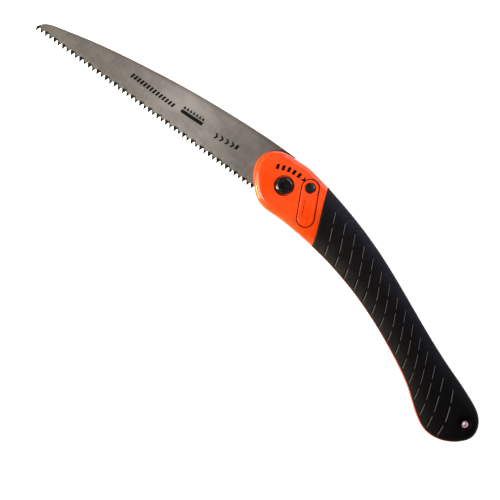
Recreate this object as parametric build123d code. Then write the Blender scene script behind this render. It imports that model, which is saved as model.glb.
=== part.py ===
from build123d import *
import math
import os

# Folding pruning saw, lying on its back flank with the blade open.
# Frame: +X from the blade's nose to the tail of the handle, +Y towards the convex spine,
# +Z out of the flank that carries the lock lever. z = 0 is the surface it lies on and the
# origin is the middle of the bounding box, at that surface. Sizes are in millimetres.
# Every piece is drawn with the pivot at x = 0, y = 0, and save() moves it into the frame.

# Places
PIVOT = (-7.5, 18.3)
MID = 11.0                      # height of the parting plane between the two casing halves

# Handle
HEAD_HALF = 8.5                 # half the thickness of the bare casing at the pivot
HEAD_ROUND = 5.0
CORE_HALF = 7.0                 # half the thickness of the casing under the grips
GRIP_HALF = 11.0                # half the thickness over the grips
GRIP_ROUND = 5.0
GRIP_WRAP = (-1.6, -2.0)        # how far the casing is drawn in where the grip wraps it
GRIP_SEAM = 0.15                # half the gap between the two grips
BELLY_LIP = 0.8                 # casing left bare along the belly
SPINE_WALL = 6.0
SLOT_HALF = 1.6                 # half the width of the blade slot
SLOT_REACH = 220.6              # the slot ends at this distance from the pivot
FIT = 0.05                      # radial clearance of a running fit

# Blade
BLADE_THICK = 1.2
TANG_R = 17.6
TOOTH_COUNT = 51
TOOTH_PITCH = 3.97
TOOTH_DEPTH = 3.7
TOOTH_BACK = 0.33               # share of the pitch from a tip to the gullet behind it
TOOTH_LINE = 7.4                # slope of the tooth line, degrees
FIRST_TIP = (-213.3, -45.1)
CLOSED_ANGLE = 160.0
NOTCH_GAP = 0.12                # clearance round the collar of the lock pin

# Pivot
BOLT_R = 4.0
BUSH_R = 5.6
THRUST_R = 10.5
HEAD_R = 6.6
HEAD_GAP = 0.8                  # open ring round the screw head
HEAD_TALL = 3.3
HEAD_DOME = 2.4                 # rounding of the screw head
HEAD_SEAT = 17.6                # height of the counterbore's floor
HEAD_WASHER = 0.6
SOCKET_FLATS = 5.0
SOCKET_DEEP = 2.3
NUT_FLATS = 13.0
NUT_TALL = 4.0
NUT_SEAT = 7.5
DISC_TALL = 0.6
DISC_R = (6.3, 5.2)             # radii of the dished washer's two faces

# Lock
LOCK_AT = (15.4, 12.2)
FULCRUM_AT = (28.3, -6.6)
COLLAR_R = 3.6
COLLAR_TOP = 10.35
COLLAR_TALL = 2.95
NECK_R = 1.6
STUB_R = 1.5
STUB_LOW = 4.6
SPRING_LOW = 4.0
SPRING_R = 2.75
SPRING_WIRE = 0.3
SPRING_TURNS = 3.5
LEVER_R = 6.3
LEVER_GAP = 0.4
LEVER_LOW = 16.1
LEVER_TOP = 19.5
LEVER_FLOOR = 14.6              # floor of the lever's pocket
LEVER_ROUND = 0.8
TRAY = (13.4, 6.4)              # shallow tray on the lever
TRAY_DEEP = 0.6
TRAY_SHARE = 0.69               # place of its middle between lock pin and fulcrum
RING_TOP = 20.4
RING_R = 6.1
RING_BORE = 4.3
RING_FLOOR = 18.0
BUTTON_R = 3.6
BUTTON_LOW = 18.6
BUTTON_TOP = 19.9
BUTTON_DISH = 14.0
BUTTON_WALL = 0.6
CLIP_R = 3.1
CLIP_LOW = 14.9
CLIP_TALL = 0.6
FULCRUM_R = 1.0
FULCRUM_Z = 17.6
FULCRUM_LONG = 17.8

# Stop, screws and tail rivet
STOP_AT = (1.0, 19.4)
STOP_R = 1.5
STOP_LONG = 10.0
SCREWS_AT = [(70.0, 9.9), (125.0, -3.3)]
SCREW_R = 1.5
SCREW_HEAD_R = 2.8
SCREW_HEAD_TALL = 1.6
SCREW_TIP = 17.0
SCREW_SINK = 0.2                # the heads lie this far under the grip
BOSS_R = 4.0
TAIL_AT = (219.5, -34.8)
EYE_R = 1.5
EYE_WALL = 0.6
EYE_RIM_R = 3.0
EYE_RIM_TALL = 1.0
DIMPLE_R = 4.9

# Outline of the handle, anticlockwise from the top of the head
HEAD_EDGE = [(0, 21.65), (-11.2, 19.5), (-19.6, 16.5), (-26.0, 9.6), (-27.6, 2.5),
             (-23.4, -8.4), (-16.4, -15.2), (-8.0, -20.8), (0, -22.35)]
BELLY = [(10, -20.95), (28, -19.05), (50, -18.3), (75, -19.45), (100, -22.85), (125, -28.6),
         (150, -36.45), (170, -44.45), (188, -54.3)]
TAIL = [(202, -58.6), (215, -55.7), (226, -46.8), (230.4, -36.5), (226.5, -26.5)]
SPINE = [(210, -18.1), (180, -11.5), (150, -3.95), (120, 4.65), (90, 12.6), (60, 18.2),
         (30, 21.4), (12, 22.3)]
GRIP_EDGE = [(22.0, 27.0), (24.9, 20.9), (34.9, 3.0), (44.6, -14.9), (47.6, -24.0)]

# Back of the blade from its shoulder to the nose
BLADE_BACK = [(-0.55, 21.85), (-20, 19.45), (-60, 12.1), (-100, 2.8), (-140, -8.7),
              (-175, -20.4), (-207, -33.2)]
NOSE = [(-213.0, -37.7), (-215.4, -42.4)]
HEEL = [(-14.9, -15.8), (-12.2, -12.4), (-0.55, 10.0)]


def save(shape, name):
    """Move a piece from the pivot into the frame and write it."""
    export_step(Pos(PIVOT[0], PIVOT[1], 0) * shape, f"parts/{name}.step")


def drum(at, radius, low, high):
    """Upright cylinder between two heights."""
    return Pos(at[0], at[1], low) * extrude(Circle(radius), high - low)


def ring(at, outer, inner, low, high):
    """Upright tube between two heights."""
    return drum(at, outer, low, high) - drum(at, inner, low - 1, high + 1)


def hexagon(flats, low, high):
    """Upright hexagonal bar on the pivot axis."""
    return Pos(0, 0, low) * extrude(RegularPolygon(flats / 2, 6, major_radius=False), high - low)


def other_side(shape):
    """The same shape on the back flank."""
    return mirror(shape, about=Plane.XY.offset(MID))


def handle_plan():
    """Whole outline of the handle."""
    return make_face(Spline(*HEAD_EDGE, *BELLY, *TAIL, *SPINE, periodic=True))


def grip_side():
    """Everything on the tail side of the line where casing and grip meet."""
    far = [GRIP_EDGE[-1], (260, -90), (260, 60), GRIP_EDGE[0]]
    return make_face(Spline(*GRIP_EDGE) + Polyline(*far))


def core_plan():
    """Outline of the casing under the grip: drawn in at spine and tail, full at the belly."""
    plan = handle_plan()
    return plan & (Pos(*GRIP_WRAP, 0) * plan)


def slot_plan():
    """Space between the casing halves in which the blade turns and lies."""
    plan = handle_plan()
    inside = plan & (Pos(0, -SPINE_WALL, 0) * plan) & Circle(SLOT_REACH)
    for at in SCREWS_AT:
        inside -= Pos(*at, 0) * Circle(BOSS_R)
    front = plan & (Pos(STOP_AT[0] - 50, 0, 0) * Rectangle(100, 100))
    tang = Circle(TANG_R + 0.8) + Pos(*LOCK_AT, 0) * Circle(COLLAR_R + 0.5)
    return inside + front + (tang & plan)


def casing_half():
    """Upper casing half without the features that belong to one flank only."""
    body = Pos(0, 0, MID) * extrude(handle_plan(), HEAD_HALF)
    body = fillet(body.edges().group_by(Axis.Z)[-1], HEAD_ROUND)
    behind = grip_side()
    body -= Pos(0, 0, MID + CORE_HALF) * extrude(behind, HEAD_HALF)
    body -= Pos(0, 0, MID - 1) * extrude(behind - core_plan(), HEAD_HALF + 2)
    body -= Pos(0, 0, MID - 1) * extrude(slot_plan(), SLOT_HALF + 1)
    body -= drum((0, 0), BOLT_R, 0, 30)
    body -= drum(TAIL_AT, EYE_R + EYE_WALL, 0, 30)
    body -= drum(STOP_AT, STOP_R, MID - 1, MID + STOP_LONG / 2)
    return body


def lever_plan(radius):
    """Obround around the line from the lock pin to the fulcrum."""
    dx = FULCRUM_AT[0] - LOCK_AT[0]
    dy = FULCRUM_AT[1] - LOCK_AT[1]
    centre = ((FULCRUM_AT[0] + LOCK_AT[0]) / 2, (FULCRUM_AT[1] + LOCK_AT[1]) / 2)
    turn = math.degrees(math.atan2(dy, dx))
    return Pos(*centre, 0) * Rot(0, 0, turn) * SlotCenterToCenter(math.hypot(dx, dy), 2 * radius)


def fulcrum_bar(radius, length):
    """Round bar across the lever at its fulcrum."""
    dx = FULCRUM_AT[0] - LOCK_AT[0]
    dy = FULCRUM_AT[1] - LOCK_AT[1]
    across = Plane(origin=(*FULCRUM_AT, FULCRUM_Z), z_dir=(-dy, dx, 0))
    return across * Cylinder(radius, length)


def shell_front():
    """Casing half with the lever's pocket and the seat of the screw head."""
    body = casing_half()
    body -= drum((0, 0), HEAD_R + HEAD_GAP, HEAD_SEAT, 30)
    body -= Pos(0, 0, LEVER_FLOOR) * extrude(lever_plan(LEVER_R + LEVER_GAP), 10)
    body -= drum(LOCK_AT, NECK_R + FIT, 0, 30)
    body -= drum(LOCK_AT, COLLAR_R + 0.1, MID - 1, MID + SLOT_HALF + 0.5)
    body -= fulcrum_bar(FULCRUM_R, FULCRUM_LONG)
    for at in SCREWS_AT:
        body -= drum(at, SCREW_R, MID - 1, SCREW_TIP)
    return body


def shell_back():
    """Casing half with the nut's pocket, the spring's pocket and the screw holes."""
    body = other_side(casing_half())
    body -= hexagon(NUT_FLATS + 0.2, -1, NUT_SEAT)
    body -= drum(LOCK_AT, COLLAR_R + 0.3, SPRING_LOW, MID)
    for at in SCREWS_AT:
        body -= drum(at, SCREW_R, 0, MID + 1)
        body -= drum(at, SCREW_HEAD_R + 0.2, 0, MID - CORE_HALF + SCREW_SINK + SCREW_HEAD_TALL)
    return body


def grip_half():
    """Soft panel over the upper casing half, wrapped round spine and tail."""
    plan = handle_plan() & grip_side() & (Pos(0, BELLY_LIP, 0) * handle_plan())
    body = Pos(0, 0, MID + GRIP_SEAM) * extrude(plan, GRIP_HALF - GRIP_SEAM)
    body = fillet(body.edges().group_by(Axis.Z)[-1], GRIP_ROUND)
    body -= Pos(0, 0, MID - 1) * extrude(core_plan(), CORE_HALF + 1)
    eye = drum(TAIL_AT, EYE_RIM_R + 0.4, 0, 30)
    slope = Pos(*TAIL_AT, MID + GRIP_HALF) * Cone(EYE_RIM_R + 0.4, DIMPLE_R, 3.0, align=(
        Align.CENTER, Align.CENTER, Align.MAX))
    return body - eye - slope


def tooth_edge():
    """Tips and gullets from the nose to the heel; the tips lean towards the handle."""
    along = (math.cos(math.radians(TOOTH_LINE)), math.sin(math.radians(TOOTH_LINE)))
    points = []
    for i in range(TOOTH_COUNT):
        tip = (FIRST_TIP[0] + i * TOOTH_PITCH * along[0], FIRST_TIP[1] + i * TOOTH_PITCH * along[1])
        points.append(tip)
        step = TOOTH_BACK * TOOTH_PITCH
        if i < TOOTH_COUNT - 1:
            points.append((tip[0] + step * along[0] - TOOTH_DEPTH * along[1],
                           tip[1] + step * along[1] + TOOTH_DEPTH * along[0]))
    return points


def notch_at(angle):
    """Place of the lock pin as the blade sees it when the blade is turned by an angle."""
    reach = math.hypot(*LOCK_AT)
    bearing = math.atan2(LOCK_AT[1], LOCK_AT[0]) - math.radians(angle)
    return (reach * math.cos(bearing), reach * math.sin(bearing))


def blade():
    """Toothed plate with a round tang, a shoulder for the stop and two lock notches."""
    back = Spline(*BLADE_BACK)
    nose = Spline(BLADE_BACK[-1], *NOSE, FIRST_TIP)
    edge = Polyline(*tooth_edge(), *HEEL, BLADE_BACK[0])
    plan = make_face(back + nose + edge) + Circle(TANG_R)
    plan -= Circle(BUSH_R + FIT)
    for angle in (0, CLOSED_ANGLE):
        plan -= Pos(*notch_at(angle), 0) * Circle(COLLAR_R + NOTCH_GAP)
    return Pos(0, 0, MID - BLADE_THICK / 2) * extrude(plan, BLADE_THICK)


def pivot_screw():
    """Button-head screw with a hexagon socket, clamping the casing on the bush."""
    low = HEAD_SEAT + HEAD_WASHER
    head = drum((0, 0), HEAD_R, low, low + HEAD_TALL)
    head = fillet(head.edges().group_by(Axis.Z)[-1], HEAD_DOME)
    shank = drum((0, 0), BOLT_R, NUT_SEAT - DISC_TALL - NUT_TALL, low)
    shank = chamfer(shank.edges().group_by(Axis.Z)[0], 0.5)
    top = low + HEAD_TALL
    return head + shank - hexagon(SOCKET_FLATS, top - SOCKET_DEEP, top + 1)


def pivot_nut():
    """Thin hexagon nut held in the back casing."""
    top = NUT_SEAT - DISC_TALL
    body = hexagon(NUT_FLATS, top - NUT_TALL, top)
    crown = drum((0, 0), NUT_FLATS * 0.56, top - NUT_TALL, top)
    crown = chamfer(crown.edges().group_by(Axis.Z)[0], 0.8)
    return (body & crown) - drum((0, 0), BOLT_R, 0, 20)


def spring_washer():
    """Dished washer under the nut that keeps the pivot under load."""
    outer = Cone(*DISC_R, DISC_TALL) - Cylinder(BOLT_R, 2)
    return Pos(0, 0, NUT_SEAT - DISC_TALL / 2) * outer


def lock_lever():
    """Obround thumb lever: ring boss round the pin, shallow tray, bore for the fulcrum pin."""
    body = Pos(0, 0, LEVER_LOW) * extrude(lever_plan(LEVER_R), LEVER_TOP - LEVER_LOW)
    body = fillet(body.edges().group_by(Axis.Z)[-1], LEVER_ROUND)
    body += drum(LOCK_AT, RING_R, LEVER_LOW + 1, RING_TOP)
    body -= drum(LOCK_AT, RING_BORE, RING_FLOOR, 30)
    body -= drum(LOCK_AT, NECK_R + 0.5, 0, 30)
    dx = FULCRUM_AT[0] - LOCK_AT[0]
    dy = FULCRUM_AT[1] - LOCK_AT[1]
    centre = (LOCK_AT[0] + TRAY_SHARE * dx, LOCK_AT[1] + TRAY_SHARE * dy)
    tray = Rot(0, 0, math.degrees(math.atan2(dy, dx))) * extrude(RectangleRounded(*TRAY, 1.2), 4)
    body -= Pos(*centre, LEVER_TOP - TRAY_DEEP) * tray
    return body - fulcrum_bar(FULCRUM_R + FIT, 40)


def lock_pin():
    """Steel pin: a thick collar that fills a notch of the blade, and a thin neck that clears it."""
    body = drum(LOCK_AT, STUB_R, STUB_LOW, COLLAR_TOP)
    body += drum(LOCK_AT, COLLAR_R, COLLAR_TOP - COLLAR_TALL, COLLAR_TOP)
    body += drum(LOCK_AT, NECK_R, COLLAR_TOP, BUTTON_TOP - BUTTON_WALL)
    return body - ring(LOCK_AT, NECK_R + 1, NECK_R - 0.3, CLIP_LOW, CLIP_LOW + CLIP_TALL)


def lock_button():
    """Cap pressed on the pin, seen inside the lever's ring."""
    body = drum(LOCK_AT, BUTTON_R, BUTTON_LOW, BUTTON_TOP)
    body = fillet(body.edges().group_by(Axis.Z)[-1], 0.3)
    dish = Pos(*LOCK_AT, BUTTON_TOP + BUTTON_DISH - 0.4) * Sphere(BUTTON_DISH)
    return body - dish - drum(LOCK_AT, NECK_R, 0, BUTTON_TOP - BUTTON_WALL)


def lock_clip():
    """Retaining ring in the pin's groove, under the lever."""
    return ring(LOCK_AT, CLIP_R, NECK_R - 0.3, CLIP_LOW, CLIP_LOW + CLIP_TALL)


def lock_spring():
    """Compression spring under the collar, drawn squeezed."""
    low = SPRING_LOW + SPRING_WIRE
    tall = COLLAR_TOP - COLLAR_TALL - low - SPRING_WIRE
    path = Helix(tall / SPRING_TURNS, tall, SPRING_R)
    wire = Plane(origin=path @ 0, z_dir=path % 0) * Circle(SPRING_WIRE)
    return Pos(*LOCK_AT, low) * sweep(wire, path=path, is_frenet=True)


def tail_rivet():
    """Tubular rivet whose bore takes a lanyard; rolled out at both ends."""
    wall = EYE_R + EYE_WALL
    low = MID - CORE_HALF - EYE_RIM_TALL - 0.6
    high = MID + CORE_HALF + EYE_RIM_TALL
    rim = drum(TAIL_AT, EYE_RIM_R, MID + CORE_HALF, high)
    rim = fillet(rim.edges().group_by(Axis.Z)[-1], 0.6)
    curl = drum(TAIL_AT, EYE_RIM_R - 0.4, low, low + 0.6)
    return rim + curl + drum(TAIL_AT, wall, low, high - 0.5) - drum(TAIL_AT, EYE_R, 0, 30)


def tail_washer():
    """Washer under the rolled end of the tail rivet."""
    top = MID - CORE_HALF
    return ring(TAIL_AT, EYE_RIM_R, EYE_R + EYE_WALL, top - EYE_RIM_TALL, top)


def handle_screws():
    """Two pan-head screws from the back flank into the front casing's bosses."""
    low = MID - CORE_HALF + SCREW_SINK
    screws = Part()
    for at in SCREWS_AT:
        head = drum(at, SCREW_HEAD_R, low, low + SCREW_HEAD_TALL)
        head = fillet(head.edges().group_by(Axis.Z)[0], 0.7)
        slot = Pos(*at, low) * (Box(3.4, 0.8, 1.6) + Box(0.8, 3.4, 1.6))
        screws += head + drum(at, SCREW_R, low + 1, SCREW_TIP) - slot
    return screws


def main():
    os.makedirs("parts", exist_ok=True)
    save(blade(), "blade")
    save(shell_front(), "shell_front")
    save(shell_back(), "shell_back")
    save(grip_half(), "grip_front")
    save(other_side(grip_half()), "grip_back")
    save(pivot_screw(), "pivot_screw")
    save(ring((0, 0), HEAD_R - 0.5, BOLT_R, HEAD_SEAT, HEAD_SEAT + HEAD_WASHER), "head_washer")
    save(pivot_nut(), "pivot_nut")
    save(spring_washer(), "spring_washer")
    gap = MID + BLADE_THICK / 2 + FIT
    save(ring((0, 0), BUSH_R, BOLT_R, MID - SLOT_HALF, MID + SLOT_HALF), "pivot_bush")
    save(ring((0, 0), THRUST_R, BUSH_R, gap, MID + SLOT_HALF), "thrust_washer_front")
    save(other_side(ring((0, 0), THRUST_R, BUSH_R, gap, MID + SLOT_HALF)), "thrust_washer_back")
    save(lock_lever(), "lock_lever")
    save(fulcrum_bar(FULCRUM_R, FULCRUM_LONG), "lever_pin")
    save(lock_pin(), "lock_pin")
    save(lock_button(), "lock_button")
    save(lock_clip(), "lock_clip")
    save(lock_spring(), "lock_spring")
    save(drum(STOP_AT, STOP_R, MID - STOP_LONG / 2, MID + STOP_LONG / 2), "stop_pin")
    save(tail_rivet(), "tail_rivet")
    save(tail_washer(), "tail_washer")
    save(handle_screws(), "handle_screws")


main()
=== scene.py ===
"""Looks of the folding pruning saw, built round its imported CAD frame.

Plan points are in millimetres from the pivot, with x towards the tail and y towards the spine,
and heights are in millimetres above the surface that the saw lies on. place() turns them into
metres in the frame.
"""
import math

import bmesh
import bpy
import numpy as np
from bpy.props import FloatProperty, FloatVectorProperty, IntProperty, PointerProperty
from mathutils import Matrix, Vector


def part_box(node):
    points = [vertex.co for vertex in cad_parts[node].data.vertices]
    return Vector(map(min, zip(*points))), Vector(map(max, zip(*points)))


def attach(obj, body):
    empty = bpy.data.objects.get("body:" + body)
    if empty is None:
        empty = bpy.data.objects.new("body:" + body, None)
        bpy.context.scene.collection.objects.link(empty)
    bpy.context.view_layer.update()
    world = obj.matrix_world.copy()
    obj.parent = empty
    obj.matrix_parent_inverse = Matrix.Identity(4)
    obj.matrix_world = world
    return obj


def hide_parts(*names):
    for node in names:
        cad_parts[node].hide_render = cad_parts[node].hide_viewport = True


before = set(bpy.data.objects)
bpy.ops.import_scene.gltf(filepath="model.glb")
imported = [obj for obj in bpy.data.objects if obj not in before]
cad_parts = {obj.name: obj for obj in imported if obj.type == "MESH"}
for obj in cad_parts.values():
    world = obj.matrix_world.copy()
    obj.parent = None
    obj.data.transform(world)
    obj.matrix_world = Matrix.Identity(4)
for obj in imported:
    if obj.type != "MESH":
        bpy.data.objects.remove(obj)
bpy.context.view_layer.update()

bl_info = {
    "name": "Folding Pruning Saw",
    "version": (1, 0, 0),
    "blender": (4, 5, 0),
    "location": "View3D > Sidebar > Saw",
    "description": "Builds the looks of a folding pruning saw round its CAD frame",
    "category": "Object",
}

MM = 0.001
BUSH_LOW, BUSH_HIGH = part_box("pivot_bush")
PIVOT = (BUSH_LOW + BUSH_HIGH) / 2
BLADE_LOW, BLADE_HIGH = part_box("blade")
GRIP_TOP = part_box("grip_front")[1].z / MM
MID = PIVOT.z / MM
HEAD_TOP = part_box("shell_front")[1].z / MM
EYE_LOW, EYE_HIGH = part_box("tail_rivet")
EYE = (EYE_LOW + EYE_HIGH) / 2 - PIVOT
EYE_AT = np.array([EYE.x, EYE.y]) / MM
PLATE = (BLADE_HIGH.z - BLADE_LOW.z) / MM

CAMERA_SHIFT = (0.0149, -0.0520)   # from the pivot to the middle of the view, in metres

# Outline of the handle, anticlockwise from the top of the head
HEAD_EDGE = [(0, 21.65), (-11.2, 19.5), (-19.6, 16.5), (-26.0, 9.6), (-27.6, 2.5),
             (-23.4, -8.4), (-16.4, -15.2), (-8.0, -20.8), (0, -22.35)]
BELLY = [(10, -20.95), (28, -19.05), (50, -18.3), (75, -19.45), (100, -22.85), (125, -28.6),
         (150, -36.45), (170, -44.45), (188, -54.3)]
TAIL = [(202, -58.6), (215, -55.7), (226, -46.8), (230.4, -36.5), (226.5, -26.5)]
SPINE = [(210, -18.1), (180, -11.5), (150, -3.95), (120, 4.65), (90, 12.6), (60, 18.2),
         (30, 21.4), (12, 22.3)]
GRIP_EDGE = [(22.0, 27.0), (24.9, 20.9), (34.9, 3.0), (44.6, -14.9), (47.6, -24.0)]
BLADE_BACK = [(-0.55, 21.85), (-20, 19.45), (-60, 12.1), (-100, 2.8), (-140, -8.7),
              (-175, -20.4), (-207, -33.2)]
NOSE = [(-213.0, -37.7), (-215.4, -42.4)]

# Teeth
TOOTH_COUNT = 51
TOOTH_PITCH = 3.97
TOOTH_DEPTH = 3.7
GULLET_EXTRA = 1.15             # gullets a little deeper, flanks a little hollow
FLANK_POWER = 0.72
TOOTH_BACK = 0.33
TOOTH_LINE = math.radians(7.4)
FIRST_TIP = np.array([-213.3, -45.1])
ALONG = np.array([math.cos(TOOTH_LINE), math.sin(TOOTH_LINE)])
ACROSS = np.array([-math.sin(TOOTH_LINE), math.cos(TOOTH_LINE)])
LAST_SLOPE = 1.6                # rise of the edge behind the last tooth
HEAT_STEP = 1.3                 # how much lower every other tooth is darkened
PLATE_END = -3.0                # x where the toothed plate ends under the head
TANG_R = 17.6
TANG_BORE_R = 5.65
LOCK_AT = np.array([15.4, 12.2])
CLOSED_ANGLE = math.radians(160)
NOTCH_R = 3.72

# Grips, marks and painted gap shadows
LEVER_FOOT = np.array([28.3, -6.6])
LEVER_GAP_R = 6.7
SCREW_SEAT_R = 7.4
SHADOW_RING_WIDE = 0.35
HEAD_MARK_LINE = [(-13.2, 7.1), (-8.6, 9.7), (-4.2, 11.6), (0.4, 12.7), (5.2, 13.6)]
ARROW_TIP = np.array([9.6, 12.6])
ARROW_BACK = np.array([5.9, 13.9])
TAIL_LOW = (222, -50)
TAIL_HIGH = (205, -17)
GROOVE_PITCH = 10.95
GROOVE_RANGE = (-1.01, 15.43)   # the grip's head and tail ends, counted in grooves
LAST_STRAIGHT = 12.5            # groove after which the columns fan round the tail
BELLY_ZERO = 57.8               # where the first groove meets belly and spine
SPINE_ZERO = 36.0
BELLY_SPREAD = 0.12             # how much wider a groove's pitch is along the belly
GROOVE_SLANT = 0.87             # distance across a groove for each unit along x
GROOVE_ENDS = (0.79, 0.035)     # share of the way from belly to spine
GROOVE_HALF = 0.72              # half the width of a cut, and the height of its raised lips
GROOVE_LIP = 0.05
DASHES = ((0.0, 0.28), (0.35, 0.68), (0.76, 1.0))
GRIP_BOW = np.array([2.6, 1.7])
HEAD_DROP = 0.5
DOME_POWER = 2.4
SKIN_THICK = 1.2
EYE_HOLE_R = 2.4
DIMPLE_R = 5.6
DIMPLE_SLOPE = 2.1
DIMPLE_DEEP = 2.6
WALL_ROWS = np.array([0.5, 1.0])


# ---------------------------------------------------------------- shapes

def place(plan, height):
    """Millimetres from the pivot, and a height above the rest, as metres in the frame."""
    plan = np.asarray(plan, float)
    height = np.broadcast_to(np.asarray(height, float), plan.shape[:-1])
    return np.concatenate([plan * MM + (PIVOT.x, PIVOT.y), height[..., None] * MM], axis=-1)


def make_piece(name, points, faces, material, merge=0.0, smooth=True):
    """Mesh object from an array of points and one of faces; where points are merged, faces are also
    turned outwards.
    """
    mesh = bpy.data.meshes.new(name)
    mesh.from_pydata(points.reshape(-1, 3).tolist(), [], faces.tolist())
    if merge:
        work = bmesh.new()
        work.from_mesh(mesh)
        bmesh.ops.remove_doubles(work, verts=work.verts, dist=merge)
        bmesh.ops.dissolve_degenerate(work, edges=work.edges, dist=merge)
        bmesh.ops.recalc_face_normals(work, faces=work.faces)
        work.to_mesh(mesh)
        work.free()
    mesh.polygons.foreach_set("use_smooth", np.full(len(mesh.polygons), smooth))
    mesh.materials.append(material)
    mesh.update()
    piece = bpy.data.objects.new(name, mesh)
    bpy.context.scene.collection.objects.link(piece)
    return piece


def grid_faces(rows, columns, wrap_rows=False, wrap_columns=False, start=0):
    """Four-cornered faces over a grid of points, closed round either way if asked."""
    r = np.arange(rows if wrap_rows else rows - 1)
    c = np.arange(columns if wrap_columns else columns - 1)
    r, c = np.meshgrid(r, c, indexing="ij")
    r2 = (r + 1) % rows
    c2 = (c + 1) % columns
    quads = np.stack([r * columns + c, r * columns + c2, r2 * columns + c2, r2 * columns + c], -1)
    return quads.reshape(-1, 4) + start


def cubic_points(p, bend, step, count):
    """Points of a piecewise cubic, even in chord length, from its knots, their second
    derivatives and the chords. It is closed where there are as many chords as knots."""
    knots = np.concatenate([[0], np.cumsum(step)])
    s = np.linspace(0, knots[-1], count, endpoint=len(step) < len(p))
    k = np.clip(np.searchsorted(knots, s, side="right") - 1, 0, len(step) - 1)
    after = (k + 1) % len(p)
    h = step[k][:, None]
    a = ((knots[k + 1] - s)[:, None]) / h
    b = 1 - a
    return (a * p[k] + b * p[after]
            + ((a ** 3 - a) * bend[k] + (b ** 3 - b) * bend[after]) * h ** 2 / 6)


def closed_curve(points, count):
    """Smooth closed curve: a periodic cubic through the points, its second derivatives found
    from one linear system over chord lengths."""
    p = np.array(points, float)
    n = len(p)
    step = np.linalg.norm(np.roll(p, -1, 0) - p, axis=1)
    last = np.roll(step, 1)
    system = np.diag(2 * (step + last))
    i = np.arange(n)
    system[i, (i - 1) % n] += last
    system[i, (i + 1) % n] += step
    slope = (np.roll(p, -1, 0) - p) / step[:, None]
    bend = np.linalg.solve(system, 6 * (slope - np.roll(slope, 1, 0)))
    return cubic_points(p, bend, step, count)


def open_curve(points, count):
    """Smooth open curve: a natural cubic through the points."""
    p = np.array(points, float)
    n = len(p)
    step = np.linalg.norm(np.diff(p, axis=0), axis=1)
    system = np.eye(n)
    right = np.zeros_like(p)
    slope = np.diff(p, axis=0) / step[:, None]
    i = np.arange(1, n - 1)
    system[i, i - 1] = step[:-1]
    system[i, i] = 2 * (step[:-1] + step[1:])
    system[i, i + 1] = step[1:]
    right[1:-1] = 6 * (slope[1:] - slope[:-1])
    return cubic_points(p, np.linalg.solve(system, right), step, count)


def inward(loop):
    """Unit normals of an anticlockwise closed loop, pointing in, from central differences."""
    run = np.roll(loop, -1, 0) - np.roll(loop, 1, 0)
    run /= np.linalg.norm(run, axis=1)[:, None]
    return np.stack([-run[:, 1], run[:, 0]], -1)


def soften(values, rounds):
    """Average each value of a closed row with its two neighbours, several times over."""
    for _ in range(rounds):
        values = (np.roll(values, 1, 0) + 2 * values + np.roll(values, -1, 0)) / 4
    return values


def round_rays(count):
    """Unit directions evenly round a circle."""
    turn = np.linspace(0, 2 * np.pi, count, endpoint=False)
    return np.stack([np.cos(turn), np.sin(turn)], -1)


def revolve(name, profile, centre, material, segments=96):
    """Turned piece: a closed profile of radius and height carried round an upright axis."""
    profile = np.array(profile, float)
    plan = centre + round_rays(segments)[:, None] * profile[None, :, :1]
    points = place(plan, profile[:, 1])
    faces = grid_faces(segments, len(profile), wrap_rows=True, wrap_columns=True)
    return make_piece(name, points, faces, material, merge=1e-7)


def set_point_value(piece, name, values):
    """Store one number for each point of a piece under a name that materials read."""
    layer = piece.data.attributes.new(name, "FLOAT", "POINT")
    layer.data.foreach_set("value", np.asarray(values, np.float32))


def piece_points(piece):
    """Points of a piece in plan, in millimetres from the pivot."""
    flat = np.empty(len(piece.data.vertices) * 3, np.float32)
    piece.data.vertices.foreach_get("co", flat)
    flat = flat.reshape(-1, 3)
    return (flat[:, :2] - (PIVOT.x, PIVOT.y)) / MM


def thicken(piece, thick):
    """Make an open skin solid, inwards from its faces."""
    skin = piece.modifiers.new("thickness", "SOLIDIFY")
    skin.thickness = thick * MM
    skin.offset = -1


def distance_to_segments(points, starts, ends):
    """Distance from each point to the nearest of several straight segments."""
    nearest = np.full(len(points), 1e9)
    for a, b in zip(starts, ends):
        run = b - a
        along = np.clip(((points - a) @ run) / (run @ run), 0, 1)
        nearest = np.minimum(nearest, np.linalg.norm(points - a - along[:, None] * run, axis=1))
    return nearest


# ---------------------------------------------------------------- materials

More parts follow.
